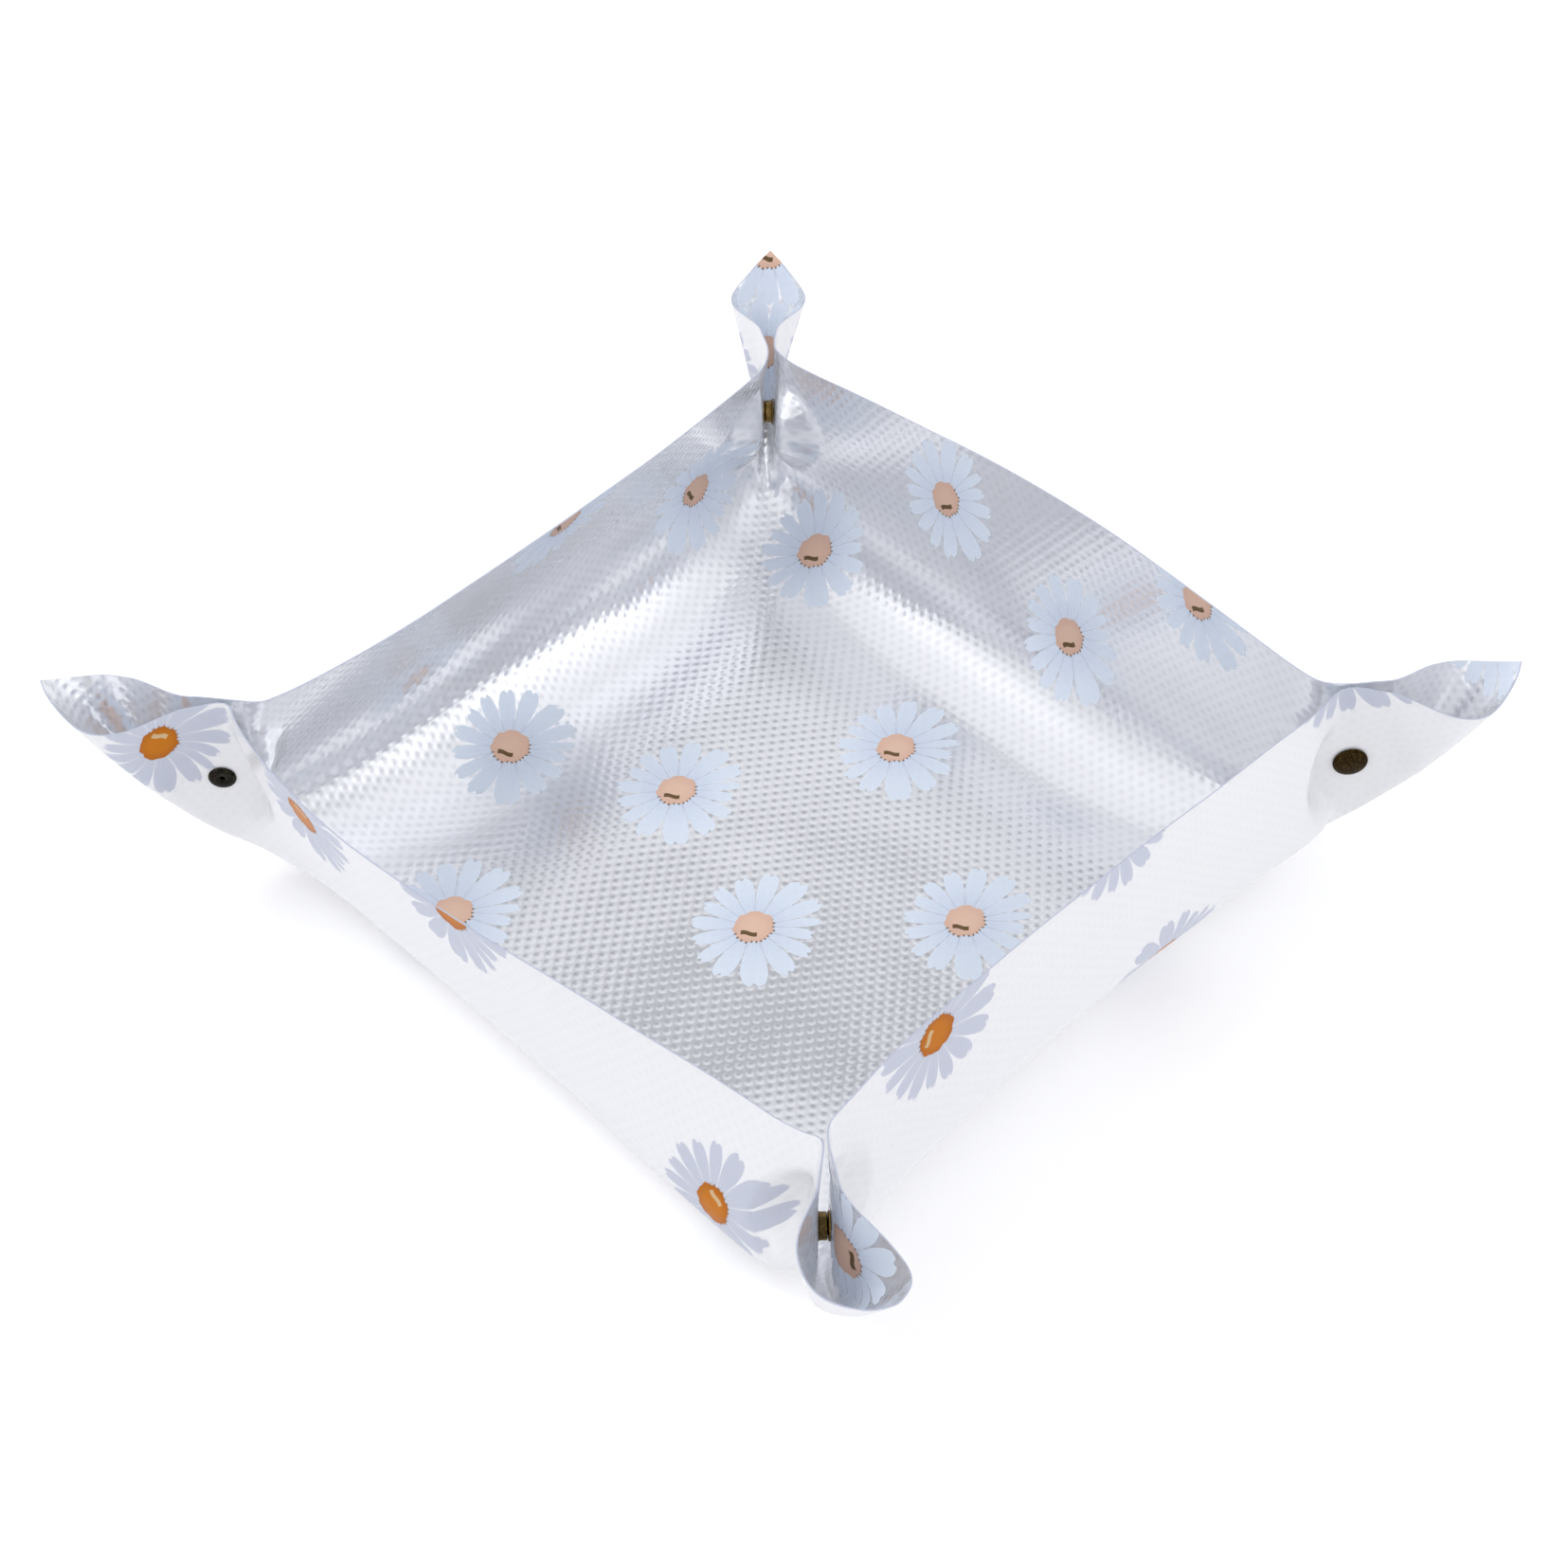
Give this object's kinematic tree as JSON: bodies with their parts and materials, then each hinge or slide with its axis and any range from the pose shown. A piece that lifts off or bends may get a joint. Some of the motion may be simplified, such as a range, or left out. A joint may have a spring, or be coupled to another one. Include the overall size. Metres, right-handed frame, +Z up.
{
  "type": "repotting mat",
  "caption": "Square clear plastic sheet with a daisy print, pinched up at its corners by press studs into a shallow tray for potting work.",
  "frame": {"origin": "centre of the square mat on its underside, where it rests on the ground", "axes": "+Z up out of the open tray, +X and +Y along two sides of the square mat; the picture looks from between -Y and +X, so its front corner is (+X, -Y)"},
  "size_m": [0.4447, 0.4377, 0.1146],
  "materials": {
    "clear_plastic": "clear, embossed with small scales and printed with daisies",
    "antique_brass": "antique, satin",
    "socket_brass": "antique, satin",
    "stud_brass": "antique, satin",
    "blackened_brass": "blackened, satin",
    "spring_steel": "drawn wire"
  },
  "bodies": {
    "mat": {"mat_sheet": "clear_plastic", "snap_stud_front": "stud_brass", "snap_post_front": "blackened_brass", "snap_stud_right": "stud_brass", "snap_post_right": "blackened_brass", "snap_stud_back": "stud_brass", "snap_post_back": "blackened_brass", "snap_stud_left": "stud_brass", "snap_post_left": "blackened_brass"},
    "cap_side_front": {"snap_cap_front": "antique_brass", "snap_socket_front": "socket_brass", "snap_spring_front": "spring_steel"},
    "cap_side_right": {"snap_cap_right": "antique_brass", "snap_socket_right": "socket_brass", "snap_spring_right": "spring_steel"},
    "cap_side_back": {"snap_cap_back": "antique_brass", "snap_socket_back": "socket_brass", "snap_spring_back": "spring_steel"},
    "cap_side_left": {"snap_cap_left": "antique_brass", "snap_socket_left": "socket_brass", "snap_spring_left": "spring_steel"}
  },
  "joints": [
    {"name": "snap_open_front", "type": "hinge", "parent": "mat", "child": "cap_side_front", "pos_m": [0.1844, -0.183, 0.0437], "axis": [0.5688, -0.2552, 0.7819], "range_deg": [0, 30], "deforming": ["mat_sheet", "snap_spring_front"]},
    {"name": "snap_open_right", "type": "hinge", "parent": "mat", "child": "cap_side_right", "pos_m": [0.1832, 0.1839, 0.0436], "axis": [0.3383, 0.5161, 0.7869], "range_deg": [0, 30], "deforming": ["mat_sheet", "snap_spring_right"]},
    {"name": "snap_open_back", "type": "hinge", "parent": "mat", "child": "cap_side_back", "pos_m": [-0.1834, 0.1836, 0.0437], "axis": [-0.4026, 0.4618, 0.7903], "range_deg": [0, 30], "deforming": ["mat_sheet", "snap_spring_back"]},
    {"name": "snap_open_left", "type": "hinge", "parent": "mat", "child": "cap_side_left", "pos_m": [-0.1836, -0.1834, 0.0452], "axis": [-0.4378, -0.3816, 0.8141], "range_deg": [0, 30], "deforming": ["mat_sheet", "snap_spring_left"]}
  ]
}
